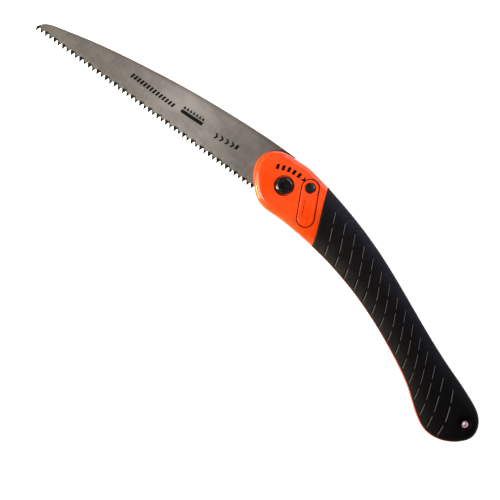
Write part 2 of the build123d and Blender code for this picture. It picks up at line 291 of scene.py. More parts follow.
class Finish:
    """Small helper that lays out the nodes of one procedural material."""

    def __init__(self, name):
        self.material = bpy.data.materials.new(name)
        self.material.use_nodes = True
        self.tree = self.material.node_tree
        self.shader = self.tree.nodes["Principled BSDF"]

    def add(self, kind, inputs=None, **settings):
        """Add a node; inputs are numbers or other nodes' outputs, settings its properties."""
        node = self.tree.nodes.new(kind)
        for key, value in settings.items():
            setattr(node, key, value)
        for key, value in (inputs or {}).items():
            self.join(node.inputs[key], value)
        return node

    def join(self, socket, value):
        """Link an output to a socket, or set the socket's own number."""
        if isinstance(value, bpy.types.NodeSocket):
            self.tree.links.new(value, socket)
        else:
            socket.default_value = value

    def shade(self, **inputs):
        """Set the shader's sockets; an underscore stands for a space."""
        for key, value in inputs.items():
            self.join(self.shader.inputs[key.replace("_", " ")], value)

    def coords(self, scale=(1, 1, 1), turn=0.0):
        """Object coordinates, turned about Z and scaled."""
        place_node = self.add("ShaderNodeTexCoord")
        return self.add("ShaderNodeMapping", {"Vector": place_node.outputs["Object"],
                                              "Rotation": (0, 0, turn), "Scale": scale}).outputs[0]

    def noise(self, vector, scale, detail=4.0, rough=0.55):
        """Fractal noise from 0 to 1."""
        return self.add("ShaderNodeTexNoise", {"Vector": vector, "Scale": scale, "Detail": detail,
                                               "Roughness": rough}).outputs["Fac"]

    def ramp(self, value, low, high, out_low=0.0, out_high=1.0):
        """Stretch a range of values to another, clamped and smooth."""
        return self.add("ShaderNodeMapRange",
                        {"Value": value, "From Min": low, "From Max": high, "To Min": out_low,
                         "To Max": out_high}, interpolation_type="SMOOTHSTEP").outputs[0]

    def math(self, kind, a, b=0.0):
        """One arithmetic step."""
        return self.add("ShaderNodeMath", {0: a, 1: b}, operation=kind).outputs[0]

    def blend(self, share, a, b):
        """Mix two colours by a share."""
        node = self.add("ShaderNodeMix", data_type="RGBA")
        self.join(node.inputs[0], share)
        self.join(node.inputs[6], a)
        self.join(node.inputs[7], b)
        return node.outputs[2]

    def bump(self, height, strength, distance, below=None):
        """Surface relief from a height, in metres."""
        node = self.add("ShaderNodeBump", {"Height": height, "Strength": strength,
                                           "Distance": distance})
        if below is not None:
            self.join(node.inputs["Normal"], below)
        return node.outputs[0]

    def value(self, name):
        """A number stored for each point of the piece."""
        return self.add("ShaderNodeAttribute", attribute_name=name).outputs["Fac"]


def rgb(colour):
    """A colour with full opacity."""
    return (*colour[:3], 1.0)


def casing_finish(colour):
    """Moulded orange plastic: satin skin, fine spark-eroded grain, faint flow lines, dull rubs."""
    f = Finish("casing_orange")
    here = f.coords()
    cloud = f.noise(here, 45, 3)
    flow = f.noise(f.coords((1, 5, 1), 0.6), 60, 3)
    deep = rgb([c * 0.86 for c in colour])
    pale = rgb([min(1.0, c * 1.05 + 0.01) for c in colour])
    base = f.blend(f.ramp(cloud, 0.3, 0.7), deep, pale)
    rubs = f.ramp(f.noise(f.coords((1, 9, 1), 1.1), 190, 5, 0.7), 0.63, 0.78)
    base = f.blend(f.math("MULTIPLY", rubs, 0.35), base, rgb((1.0, 0.24, 0.10)))
    grain = f.noise(here, 2600, 2, 0.5)
    f.shade(Base_Color=base, Roughness=f.ramp(flow, 0.3, 0.7, 0.25, 0.32), IOR=1.49,
            Specular_IOR_Level=0.15, Coat_Weight=0.35, Coat_Roughness=0.14,
            Normal=f.bump(grain, 0.16, 0.00006, f.bump(flow, 0.12, 0.0003)))
    return f.material


def grip_finish(colour):
    """Black soft rubber: stippled and streaked, with a painted sheen paler towards rim and head,
    cool on the spine side and warm on the belly side; cuts with painted shade on one wall and a
    painted highlight on the other."""
    f = Finish("soft_grip")
    here = f.coords()
    field = f.value("field")
    painted_sheen = f.value("painted_sheen")
    painted_groove_shade = f.value("painted_groove_shade")
    painted_groove_highlight = f.value("painted_groove_highlight")
    streak = f.noise(f.coords((1.6, 11, 1), 1.04), 330, 5, 0.65)
    cloud = f.noise(here, 70, 4, 0.6)
    stipple = f.noise(here, 1900, 3, 0.6)
    # Painted sheen: this share makes the base colour paler, tinted cool on the spine side and warm
    # on the belly side
    sheen_tint = f.blend(f.value("cool_sheen"), rgb((0.027, 0.023, 0.022)), rgb((0.030, 0.027, 0.042)))
    share = f.math("MULTIPLY", painted_sheen, f.ramp(streak, 0.35, 0.68, 0.25, 1.25))
    share = f.math("MULTIPLY", share, f.ramp(cloud, 0.3, 0.7, 0.65, 1.05))
    base = f.blend(share, rgb(colour), sheen_tint)
    # Painted shade on one wall of each cut, and next a painted highlight on the other wall
    base = f.blend(f.ramp(painted_groove_shade, 0.15, 0.6), base, rgb([c * 0.2 for c in colour]))
    base = f.blend(f.ramp(painted_groove_highlight, 0.1, 0.5, 0.0, 0.9), base, rgb((0.075, 0.072, 0.075)))
    depth = f.math("ADD", f.math("MULTIPLY", f.math("MULTIPLY", streak, field), 0.8),
                   f.math("MULTIPLY", stipple, 0.35))
    rough = f.ramp(streak, 0.3, 0.7, 0.52, 0.66)
    f.shade(Base_Color=base, Roughness=rough, IOR=1.5, Specular_IOR_Level=0.04,
            Normal=f.bump(depth, 0.5, 0.00025))
    return f.material


def blade_finish(colour):
    """Ground saw steel: fine slanted grinding lines, cloudy sheen, blued-black hardened tips."""
    f = Finish("ground_blade")
    here = f.coords()
    hardened = f.value("hardened")
    cloud = f.noise(f.coords((1, 2.2, 1), -0.3), 30, 5, 0.65)
    grind = f.noise(f.coords((60, 2.2, 1), 0.55), 55, 5, 0.62)
    fine = f.noise(here, 2100, 3, 0.6)
    dull = rgb([c * 0.62 for c in colour])
    base = f.blend(f.ramp(cloud, 0.32, 0.68), dull, rgb(colour))
    base = f.blend(f.ramp(grind, 0.35, 0.75, 0.0, 0.35), base, rgb([c * 1.35 for c in colour]))
    base = f.blend(f.math("MULTIPLY", f.value("edge"), 0.85), base, rgb([c * 0.35 for c in colour]))
    burnt = f.ramp(f.math("ADD", hardened, f.math("MULTIPLY", f.math("SUBTRACT", fine, 0.5), 0.35)),
                   0.35, 0.62)
    base = f.blend(burnt, base, rgb((0.002, 0.002, 0.0025)))
    spots = f.ramp(f.noise(here, 240, 5, 0.7), 0.66, 0.74, 0.0, 0.25)
    base = f.blend(spots, base, rgb((0.16, 0.13, 0.11)))
    rough = f.math("ADD", f.ramp(grind, 0.3, 0.7, 0.40, 0.52), f.math("MULTIPLY", burnt, 0.3))
    metal = f.ramp(burnt, 0.0, 1.0, 0.82, 0.0)
    f.shade(Base_Color=base, Metallic=metal, Roughness=rough, Specular_IOR_Level=0.15,
            Normal=f.bump(grind, 0.10, 0.00008, f.bump(fine, 0.08, 0.00004)))
    return f.material


def steel_finish(name, colour, metallic=1.0, rough=0.3, rings=0.25):
    """Small turned or plated steel: fine turning marks, specks and slightly uneven gloss."""
    f = Finish(name)
    here = f.coords()
    patch = f.noise(here, 300, 4, 0.6)
    marks = f.noise(f.coords((1, 1, 14)), 900, 3, 0.6)
    base = f.blend(f.ramp(patch, 0.35, 0.7), rgb([c * 0.78 for c in colour]), rgb(colour))
    f.shade(Base_Color=base, Metallic=metallic,
            Roughness=f.ramp(marks, 0.3, 0.7, rough - 0.06, rough + 0.1),
            Normal=f.bump(marks, rings, 0.00005))
    return f.material


def gloss_finish():
    """Blacked screw head: deep gloss with pale painted glints in its colour, and fine turning
    marks.
    """
    f = Finish("glossy_black")
    here = f.coords()
    # Painted glints: pale cyan-grey specks put into the base colour, and made more metallic
    painted_glint = f.ramp(f.noise(here, 780, 2, 0.4), 0.62, 0.68)
    marks = f.noise(f.coords((1, 1, 14)), 900, 3, 0.6)
    base = f.blend(painted_glint, rgb((0.006, 0.004, 0.005)), rgb((0.13, 0.17, 0.18)))
    f.shade(Base_Color=base, Metallic=f.ramp(painted_glint, 0, 1, 0, 0.8),
            Roughness=f.ramp(marks, 0.3, 0.7, 0.10, 0.2), Specular_IOR_Level=0.45,
            Normal=f.bump(marks, 0.15, 0.00005))
    return f.material


def painted_shadow_finish():
    """Painted shadow in the gaps round the moving parts: dark red-brown, thinner in patches."""
    f = Finish("painted_gap_shadow")
    patch = f.noise(f.coords(), 500, 4, 0.6)
    base = f.blend(f.ramp(patch, 0.35, 0.7), rgb((0.055, 0.006, 0.002)), rgb((0.13, 0.014, 0.003)))
    f.shade(Base_Color=base, Roughness=f.ramp(patch, 0.3, 0.7, 0.6, 0.8),
            Specular_IOR_Level=0.1, Normal=f.bump(patch, 0.2, 0.00003))
    return f.material


def ink_finish(colour):
    """Printed ink: matt, thin, slightly worn so that specks of the ground show through."""
    f = Finish("mark_ink")
    here = f.coords()
    worn = f.ramp(f.noise(here, 900, 5, 0.7), 0.64, 0.76)
    base = f.blend(worn, rgb(colour), rgb([c + 0.02 for c in colour]))
    f.shade(Base_Color=base, Roughness=f.ramp(worn, 0, 1, 0.5, 0.7), Specular_IOR_Level=0.05,
            Normal=f.bump(f.noise(here, 3000, 2), 0.1, 0.00002))
    return f.material


def nylon_finish():
    """Natural nylon: milky, slightly translucent, scuffed by the blade."""
    f = Finish("washer_nylon")
    scuff = f.noise(f.coords((1, 1, 1)), 700, 5, 0.65)
    base = f.blend(f.ramp(scuff, 0.4, 0.7), rgb((0.62, 0.60, 0.54)), rgb((0.48, 0.46, 0.42)))
    f.shade(Base_Color=base, Roughness=f.ramp(scuff, 0.3, 0.7, 0.35, 0.5),
            Normal=f.bump(scuff, 0.2, 0.00005))
    return f.material


def dress_node(node, material):
    """Give a CAD node its material."""
    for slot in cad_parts[node].material_slots:
        slot.material = material


# ---------------------------------------------------------------- settings

def size_setting(name, about, default, low, high):
    """A size in millimetres."""
    return FloatProperty(name=name, description=about + ", mm", default=default, min=low, max=high)


def colour_setting(name, about, default):
    """A colour as three shares of light."""
    return FloatVectorProperty(name=name, description=about, subtype="COLOR", size=3,
                               default=default)


class SawBladeSettings(bpy.types.PropertyGroup):
    """Sizes and colour of the blade."""

    bevel: size_setting("Bevel", "Width of the ground bevel on a tooth", 0.9, 0.1, 2.0)
    set_out: size_setting("Set", "How far tips lean out of the plate", 0.12, 0.0, 0.5)
    heat_height: size_setting("Hardened height", "Height of the darkened tip", 5.0, 0.5, 6.0)
    colour: colour_setting("Steel", "Colour of the ground steel", (0.19, 0.171, 0.159))


class SawGripSettings(bpy.types.PropertyGroup):
    """Sizes and colour of the soft grips."""

    shoulder: size_setting("Shoulder", "Distance from rim to full height", 16.0, 4.0, 20.0)
    belly_edge: size_setting("Belly rim", "Height of the rim along the belly", 17.0, 14.0, 20.0)
    spine_edge: size_setting("Spine rim", "Height of the rim along the spine", 13.5, 12.0, 20.0)
    groove_count: IntProperty(name="Groove lines", description="Lines of cuts along the grip",
                              default=15, min=1, max=20)
    groove_depth: size_setting("Groove depth", "Depth of a cut", 0.6, 0.0, 1.2)
    colour: colour_setting("Rubber", "Colour of the rubber", (0.0016, 0.0013, 0.0015))


class SawCasingSettings(bpy.types.PropertyGroup):
    """Colour of the moulded casing and of the printed marks."""

    colour: colour_setting("Plastic", "Colour of the casing", (0.82, 0.052, 0.0006))
    ink: colour_setting("Ink", "Colour of the printed marks", (0.002, 0.002, 0.002))


class SawStageSettings(bpy.types.PropertyGroup):
    """Camera and light."""

    view_width: FloatProperty(name="View width", description="Width seen by the camera, m",
                              default=0.3725, min=0.1, max=2.0, unit="LENGTH")
    roll: FloatProperty(name="Roll", description="Turn of the camera about its own line of sight",
                        default=math.radians(43.9), subtype="ANGLE")
    key: FloatProperty(name="Key light", description="Power of the main soft light, watts",
                       default=14.0, min=0.0)
    surround: FloatProperty(name="Surround", description="Brightness of the room around the saw",
                            default=0.10, min=0.0)


# ---------------------------------------------------------------- blade

def back_height():
    """Distance along the tooth line and height over it, for the blade's back and nose."""
    back = open_curve(BLADE_BACK, 400)
    nose = open_curve([BLADE_BACK[-2], BLADE_BACK[-1], *NOSE], 400)
    nose = nose[nose[:, 0] < BLADE_BACK[-1][0]]
    line = np.concatenate([back, nose]) - FIRST_TIP
    s, h = line @ ALONG, line @ ACROSS
    order = np.argsort(s)
    return s[order], h[order]


def tooth_wave(s):
    """Height of the toothed edge over the tip line: up the steep flank behind each tip to the
    gullet, down the long flank to the next tip; and which tooth is nearest."""
    turn = np.clip(s / TOOTH_PITCH, 0, TOOTH_COUNT - 1 + TOOTH_BACK)
    tooth = np.floor(turn)
    part = turn - tooth
    rise = np.where(part < TOOTH_BACK, part / TOOTH_BACK, (1 - part) / (1 - TOOTH_BACK))
    nearest = np.where(part < TOOTH_BACK, tooth, tooth + 1)
    rounded = GULLET_EXTRA * TOOTH_DEPTH * (1 - 0.06 * np.maximum(0, rise - 0.9) / 0.1)
    return rise ** FLANK_POWER * rounded, nearest


def blade_stations(nose_s, end_s):
    """Places along the tooth line: every tip and gullet, with points between."""
    parts = np.array([0, 0.08, 0.17, 0.25, TOOTH_BACK, 0.45, 0.58, 0.72, 0.86])
    teeth = (np.arange(TOOTH_COUNT - 1)[:, None] + parts).ravel() * TOOTH_PITCH
    last = (TOOTH_COUNT - 1 + parts[:5]) * TOOTH_PITCH
    nose = nose_s * (1 - np.linspace(0, 1, 12, endpoint=False) ** 2)
    tang = np.linspace(last[-1], end_s, 8)[1:]
    return np.concatenate([nose, teeth, last, tang])


def build_blade(settings, steel):
    """Toothed plate as one grid: stations along the tooth line, and round each station a ring
    up the near face from tooth edge to back and down the far face. A tooth's bevel is a drop of
    one face with nearness to the tooth's flanks, and its set a sideways lean that grows to the
    tip."""
    back_s, back_h = back_height()
    s = blade_stations(back_s[0] + 1e-4, (PLATE_END - FIRST_TIP[0]) / ALONG[0])
    top = np.interp(s, back_s, back_h)
    low, tooth = tooth_wave(s)
    nose_rise = np.interp(back_s[0], back_s, back_h)
    low = np.where(s < 0, nose_rise * s / back_s[0], low)
    last_s = (TOOTH_COUNT - 1 + TOOTH_BACK) * TOOTH_PITCH
    low = np.where(s > last_s, TOOTH_DEPTH + (s - last_s) * LAST_SLOPE, low)
    chamfer = 0.35
    steps = np.array([0, 0.3, 0.6, 1.0, 1.5, 2.1, 2.9, 3.9, 5.4])
    reach = np.minimum(top - low - chamfer, 60)
    near = low[:, None] + np.minimum(steps, reach[:, None] * np.linspace(0, 0.6, len(steps)))
    far_share = np.linspace(0, 1, 9)[1:]
    start = near[:, -1:]
    far = start + (top[:, None] - chamfer - start) * far_share
    face = np.concatenate([near, far], axis=1)
    bevel_gap = flank_distance(s, face)
    even = (tooth % 2 == 0)[:, None]
    ground = np.clip(1 - bevel_gap / settings.bevel, 0, 1) * (s < last_s)[:, None]
    half = PLATE / 2
    edge_left = 0.16
    drop = (PLATE - edge_left) * ground
    high_z = half - np.where(even, drop, 0)
    low_z = -half + np.where(even, 0, drop)
    lean = np.clip(1 - face / TOOTH_DEPTH, 0, 1) * settings.set_out
    lean = np.where(even, -lean, lean) * (s < last_s)[:, None]
    back_row = np.repeat(top[:, None], 2, axis=1)
    ring_h = np.concatenate([face, back_row, face[:, ::-1]], axis=1)
    ring_z = np.concatenate([high_z + lean, np.broadcast_to([half - chamfer, chamfer - half],
                                                            back_row.shape),
                             (low_z + lean)[:, ::-1]], axis=1)
    plan = FIRST_TIP + s[:, None, None] * ALONG + ring_h[..., None] * ACROSS
    points = place(plan, MID + ring_z)
    count = ring_h.shape[1]
    near_edge = np.arange(count // 2 - 1)
    cap = np.stack([near_edge, near_edge + 1, count - 2 - near_edge, count - 1 - near_edge], -1)
    faces = np.concatenate([grid_faces(len(s), count, wrap_columns=True), cap,
                            cap[:, ::-1] + (len(s) - 1) * count])
    piece = make_piece("saw_blade", points, faces, steel, merge=2e-6)
    at = piece_points(piece)
    away = (at - FIRST_TIP) @ ALONG
    over = (at - FIRST_TIP) @ ACROSS
    small = np.abs(np.round(away / TOOTH_PITCH)) % 2
    dark = 1 - over / (settings.heat_height - HEAT_STEP * small)
    dark = np.where(away > last_s, 0, np.clip(dark + 0.45, 0, 1))
    set_point_value(piece, "hardened", dark)
    rim = np.interp(away, back_s, back_h) - over
    set_point_value(piece, "edge", np.clip(1 - rim / 1.1, 0, 1))
    shade_by_angle(piece, 28)
    return piece


def flank_distance(s, h):
    """Distance from points over the tooth line to the two flanks of the tooth they are on."""
    turn = s / TOOTH_PITCH
    base = np.floor(turn)
    part = turn - base
    tip = np.where(part < TOOTH_BACK, base, base + 1) * TOOTH_PITCH
    x = (s - tip)[:, None]
    steep = TOOTH_DEPTH / (TOOTH_BACK * TOOTH_PITCH)
    gentle = TOOTH_DEPTH / ((1 - TOOTH_BACK) * TOOTH_PITCH)
    behind = (h - steep * x) / math.hypot(1, steep)
    ahead = (h + gentle * x) / math.hypot(1, gentle)
    return np.minimum(behind, ahead)


def shade_by_angle(piece, degrees):
    """Keep smooth shading, but mark edges sharper than an angle."""
    work = bmesh.new()
    work.from_mesh(piece.data)
    limit = math.radians(degrees)
    for edge in work.edges:
        edge.smooth = len(edge.link_faces) == 2 and edge.calc_face_angle(0) < limit
    work.to_mesh(piece.data)
    work.free()


def build_tang(steel):
    """Round tang: rings from the bush bore out to a rim whose radius dips where the lock pin's
    two notches are cut, carried round the pivot."""
    ray = round_rays(240)
    reach = np.linalg.norm(LOCK_AT)
    bearing = math.atan2(LOCK_AT[1], LOCK_AT[0])
    rim = np.full(len(ray), TANG_R)
    for angle in (0.0, CLOSED_ANGLE):
        notch = reach * np.array([math.cos(bearing - angle), math.sin(bearing - angle)])
        along = ray @ notch
        inside = NOTCH_R ** 2 - (reach ** 2 - along ** 2)
        dip = np.where((inside > 0) & (along > 0), along - np.sqrt(np.maximum(inside, 0)), TANG_R)
        rim = np.minimum(rim, dip)
    half = PLATE / 2 - 0.02
    radius = TANG_BORE_R + (rim[:, None] - TANG_BORE_R) * np.array([0, 1, 1, 0])
    height = MID + half * np.array([1, 1, -1, -1])
    points = place(ray[:, None, :] * radius[..., None], height)
    faces = grid_faces(len(ray), 4, wrap_rows=True, wrap_columns=True)
    piece = make_piece("saw_tang", points, faces, steel, merge=1e-7)
    for label in ("hardened", "edge"):
        set_point_value(piece, label, np.zeros(len(piece.data.vertices)))
    shade_by_angle(piece, 28)
    return piece


# ---------------------------------------------------------------- grips

def nearest_index(line, spot):
    """Which point of a line is nearest to a spot."""
    return np.argmin(np.linalg.norm(line - spot, axis=1))


def grip_sides():
    """The grip's outline cut into belly, tail end, spine and head end. A thin lip of casing is
    left bare along the belly."""
    loop = closed_curve(HEAD_EDGE + BELLY + TAIL + SPINE, 6000)
    far = np.clip((loop[:, 0] - 120) / 30, 0, 1)
    fade = np.where(loop[:, 0] > 205, np.clip((-42 - loop[:, 1]) / 10, 0, 1), 1)
    lip = np.where(loop[:, 1] < np.interp(loop[:, 0], (0, 220), (0, -40)), 0.12 + 0.5 * far, 0)
    loop = loop + inward(loop) * soften(lip * fade, 40)[:, None]
    border = open_curve(GRIP_EDGE, 600)
    close = np.linalg.norm(loop[:, None, :] - border[None, ::6, :], axis=2).min(axis=1)
    low_side = loop[:, 1] < 0
    belly_start = np.argmin(np.where(low_side, close, 1e9))
    spine_end = np.argmin(np.where(low_side, 1e9, close))
    tail_low = nearest_index(loop, TAIL_LOW)
    tail_high = nearest_index(loop, TAIL_HIGH)
    at_spine = nearest_index(border, loop[spine_end])
    at_belly = nearest_index(border, loop[belly_start])
    return (loop[belly_start:tail_low + 1], loop[tail_low:tail_high + 1],
            loop[tail_high:spine_end + 1][::-1], border[at_spine:at_belly + 1][::-1])


def lengths(line):
    """Distance along a line at each of its points."""
    return np.concatenate([[0], np.cumsum(np.linalg.norm(np.diff(line, axis=0), axis=1))])


def along_line(line, share):
    """Points on a line at given shares of its length."""
    length = lengths(line)
    s = np.asarray(share) * length[-1]
    return np.stack([np.interp(s, length, line[:, 0]), np.interp(s, length, line[:, 1])], -1)


def at_x(line, x):
    """Share of a line's length at which it first reaches x."""
    length = lengths(line)
    return np.interp(x, np.maximum.accumulate(line[:, 0]), length) / length[-1]


def groove_columns(count):
    """Columns of the grip's grid, counted in grooves: close together across each groove, at the
    head end and round the eye."""
    across = np.array([-1.25, -0.95, -0.7, -0.46, -0.23, 0, 0.23, 0.46, 0.7, 0.95, 1.25])
    between = np.array([2.3, 3.7, 5.2, 6.7, 8.2]) * 1.15
    last = (count - 1) * GROOVE_PITCH
    grooves = (np.arange(count)[:, None] * GROOVE_PITCH + np.concatenate([across, between])).ravel()
    start, end = GROOVE_PITCH * np.array(GROOVE_RANGE)
    head = start + np.array([0, 0.12, 0.3, 0.6, 1.0, 1.8, 3.0, 4.6, 6.2, 7.8, 9.2])
    tail = np.linspace(last + 2.3, end, 30)
    columns = np.concatenate([head, grooves[grooves < last + 1.7], tail])
    return np.unique(columns) / GROOVE_PITCH


def grip_rows():
    """Rows of the grip's grid as shares of the way from belly to spine, close at both rims."""
    rim = np.array([0, 0.12, 0.35, 0.7, 1.2, 1.9, 2.8, 3.9, 5.1]) / 43
    return np.concatenate([rim, np.linspace(rim[-1], 1 - rim[-1], 46)[1:-1], 1 - rim[::-1]])


def side_shares(line, turn, first_x, pitch):
    """Shares of a side's length for each column: straight up from x for the even grooves, then
    spread evenly to the side's end."""
    even = turn < LAST_STRAIGHT
    known = at_x(line, (first_x + pitch * turn)[even])
    share = np.interp(turn, np.append(turn[even], turn[-1]), np.append(known, 1))
    share[0] = 0
    return share


def bulge(line, v):
    """How far a line runs from the chord between its ends, at shares of its length."""
    return along_line(line, v) - ((1 - v)[:, None] * line[0] + v[:, None] * line[-1])


def grip_plan(turn, v):
    """Plan of the grip's grid, and its points' distances to belly, tail and spine. It is ruled
    between belly and spine, plus the bulges of head and tail ends, which fade as (1-u)^3 and
    u^24, and a small bow."""
    belly, tail, spine, head = grip_sides()
    u = ((turn - turn[0]) / (turn[-1] - turn[0]))[:, None, None]
    across = v[None, :, None]
    low = along_line(belly, side_shares(belly, turn, BELLY_ZERO, GROOVE_PITCH + BELLY_SPREAD))
    high = along_line(spine, side_shares(spine, turn, SPINE_ZERO, GROOVE_PITCH))
    plan = (1 - across) * low[:, None] + across * high[:, None]
    at_head = (1 - u) ** 3
    at_tail = u ** 24
    bow = GRIP_BOW * 4 * across * (1 - across) ** 2 * (1 - at_tail) * (1 - at_head)
    plan = plan + at_head * bulge(head, v) + at_tail * bulge(tail, v) + bow
    outline = np.concatenate([along_line(belly, np.linspace(0, 1, 260)), tail[6:-6:12],
                              along_line(spine, np.linspace(1, 0, 260))])
    inside = distance_to_segments(plan.reshape(-1, 2), outline[:-1], outline[1:])
    return plan, inside.reshape(plan.shape[:2])


def dashes(v, shape):
    """One where a cut is open: three dashes on its way from spine to belly."""
    start, end = GROOVE_ENDS
    share = np.broadcast_to((start - v[None, :]) / (start - end), shape)
    on = np.zeros(shape)
    for low, high in DASHES:
        on = np.maximum(on, np.clip((share - low) / 0.02, 0, 1)
                        * np.clip((high - share) / 0.02, 0, 1))
    return on


def nearness(offset, centre, half_width):
    """One at a centre, falling evenly to nothing at a distance from it."""
    return np.clip(1 - np.abs(offset - centre) / half_width, 0, 1)


def rim_loop(columns, rows):
    """Numbers of the grid's outer points, round by belly, tail, spine and head."""
    corner = columns - 1
    return np.concatenate([np.arange(corner) * rows, corner * rows + np.arange(rows - 1),
                           np.arange(corner, 0, -1) * rows + rows - 1,
                           np.arange(rows - 1, 0, -1)])


def grip_walls(top, rim_index, columns, rows, belly_edge):
    """Two rows of heights under the rim: down to the casing at belly and head, and to the seam
    between the grips elsewhere."""
    base = np.full(len(rim_index), MID + 0.2)
    base[:columns - 1] = belly_edge - 0.7
    base[1 - rows:] = HEAD_TOP - 1.2
    base = np.minimum(soften(base, 6), top[rim_index] - 0.3)
    return top[rim_index] + (base - top[rim_index]) * WALL_ROWS[:, None]


def build_grip(settings, name, flip, rubber):
    """Soft grip as an open skin that is then thickened. It rises from rim to crown on a
    superellipse of the distance to the outline, with V cuts along its columns and a dimple
    round the eye."""
    turn = groove_columns(settings.groove_count)
    v = grip_rows()
    plan, inside = grip_plan(turn, v)
    shape = inside.shape
    side = v * v * (3 - 2 * v)
    edge = settings.belly_edge + (settings.spine_edge - settings.belly_edge) * side[None, :]
    share = np.clip(inside / settings.shoulder, 0, 1)
    rise = (1 - (1 - share) ** DOME_POWER) ** (1 / DOME_POWER)
    head_gap = (turn - turn[0])[:, None] * GROOVE_PITCH
    head_drop = HEAD_DROP * np.clip(1 - head_gap / 0.6, 0, 1) ** 2.5
    nearest = np.clip(np.round(turn), 0, settings.groove_count - 1)
    offset = ((turn - nearest) * GROOVE_PITCH * GROOVE_SLANT)[:, None]
    dash = dashes(v, shape)
    swell = np.exp(-((np.abs(offset) - 0.8) / 0.25) ** 2) * dash
    eye_gap = np.linalg.norm(plan - EYE_AT, axis=2)
    dimple = np.clip((DIMPLE_R - eye_gap) / DIMPLE_SLOPE, 0, 1)
    dimple = dimple * dimple * (3 - 2 * dimple)
    height = edge + (GRIP_TOP - edge) * rise - head_drop \
        - settings.groove_depth * (nearness(offset, 0, GROOVE_HALF) * dash) \
        + GROOVE_LIP * swell * rise - DIMPLE_DEEP * dimple
    rim_index = rim_loop(*shape)
    flat = plan.reshape(-1, 2)
    top = height.ravel()
    count = len(rim_index)
    first = len(flat)
    walls = grip_walls(top, rim_index, *shape, settings.belly_edge)
    points_plan = np.concatenate([flat, np.tile(flat[rim_index], (len(WALL_ROWS), 1))])
    points_z = np.concatenate([top, walls.ravel()])
    top_faces = grid_faces(*shape)[:, ::-1]
    centre = flat[top_faces].mean(axis=1)
    open_eye = np.linalg.norm(centre - EYE_AT, axis=1) > EYE_HOLE_R
    i = np.arange(count)
    j = (i + 1) % count
    join = np.stack([rim_index[i], first + i, first + j, rim_index[j]], -1)
    skirt = grid_faces(len(WALL_ROWS), count, wrap_columns=True, start=first)[:, ::-1]
    faces = np.concatenate([top_faces[open_eye], join, skirt])
    if flip:
        points_z = 2 * MID - points_z
        faces = faces[:, ::-1]
    piece = make_piece(name, place(points_plan, points_z), faces, rubber)
    field = np.clip(inside / 6, 0, 1) * np.clip(head_gap / 3, 0, 1) \
        * np.clip((eye_gap - 5) / 3, 0, 1)
    tailward = (1 - (turn - turn[0]) / (turn[-1] - turn[0]))[:, None] ** 0.8
    # Share of the painted sheen: strongest at the rims and towards the head, faint at the tail,
    # none round the eye; the spine side gets its cool tint
    painted_sheen = (0.22 + 0.78 * np.exp(-(inside / 7.5) ** 2)) * (0.12 + 0.88 * tailward)
    painted_sheen = painted_sheen * np.clip((eye_gap - 4) / 8, 0, 1)
    cool_sheen = np.broadcast_to(np.clip((v - 0.45) / 0.3, 0, 1)[None, :], shape)
    spare = np.zeros(len(WALL_ROWS) * count)
    for label, values in (("field", field), ("painted_sheen", painted_sheen), ("cool_sheen", cool_sheen),
                          # Shares for the painted shade and the painted highlight on the two walls
                          # of each cut
                          ("painted_groove_shade", dash * nearness(offset, -0.35, 0.55)),
                          ("painted_groove_highlight", dash * nearness(offset, 0.38, 0.42))):
        set_point_value(piece, label, np.concatenate([np.ravel(values), spare]))
    thicken(piece, SKIN_THICK)
    return piece


# ---------------------------------------------------------------- marks and fittings

def flat_marks(name, shapes, height, thick, material):
    """Printed marks: each shape is four corners, raised into a thin closed plate."""
    corners = np.array(shapes, float)
    low = place(corners, height)
    high = place(corners, height + thick)
    points = np.concatenate([low, high], axis=1)
    first = np.arange(len(corners))[:, None, None] * 8
    box = np.array([[3, 2, 1, 0], [4, 5, 6, 7], [0, 1, 5, 4], [1, 2, 6, 5], [2, 3, 7, 6],
                    [3, 0, 4, 7]])
    return make_piece(name, points, (box[None] + first).reshape(-1, 4), material, smooth=False)


def tilted_axes(angle):
    """Unit directions along and across a line at an angle."""
    run = np.array([math.cos(angle), math.sin(angle)])
    return run, np.array([-run[1], run[0]])


def bar(centre, length, width, angle, slant=0.0):
    """Four corners of a slanted bar."""
    run, up = tilted_axes(angle)
    along = run * length / 2
    over = (up + run * slant) * width / 2
    return [centre - along - over, centre + along - over, centre + along + over,
            centre - along + over]


def wedge(tip, back, width):
    """Four corners of an arrowhead whose tail is notched."""
    run = back - tip
    side = np.array([-run[1], run[0]]) / np.linalg.norm(run) * width / 2
    return [tip, back + side, back - run * 0.3, back - side]


def blade_mark_shapes():
    """Plain tally bars, a bar under a row of small triangles, and three chevrons."""
    start = np.array([-138.0, -18.8])
    shapes = [bar(start + i * 2.85 * ALONG, 1.75, 3.6, TOOTH_LINE, slant=0.25)
              for i in range(14)]
    block = np.array([-85.2, -9.2])
    tilt = math.radians(10.5)
    run, up = tilted_axes(tilt)
    shapes.append(bar(block - up * 1.7, 19.0, 2.7, tilt))
    for i in range(7):
        foot = block + run * (i - 3) * 2.7 + up * 0.5
        shapes.append([foot - run * 1.15, foot + run * 1.15, foot + run * 0.2 + up * 2.4,
                       foot - run * 0.2 + up * 2.4])
    tilt = math.radians(15.5)
    run, up = tilted_axes(tilt)
    foot = np.array([-66.0, -9.4])
    for i in range(4):
        c = foot + run * (2.4 + i * 4.6)
        shapes.append([c - up * 2.1, c + run * 1.7 - up * 2.1, c + run * 3.4, c + run * 1.7])
        shapes.append([c + run * 1.7, c + run * 3.4, c + run * 1.7 + up * 2.1, c + up * 2.1])
    shapes.append(bar(foot + run * 21.6, 2.2, 3.6, tilt, slant=0.25))
    return shapes


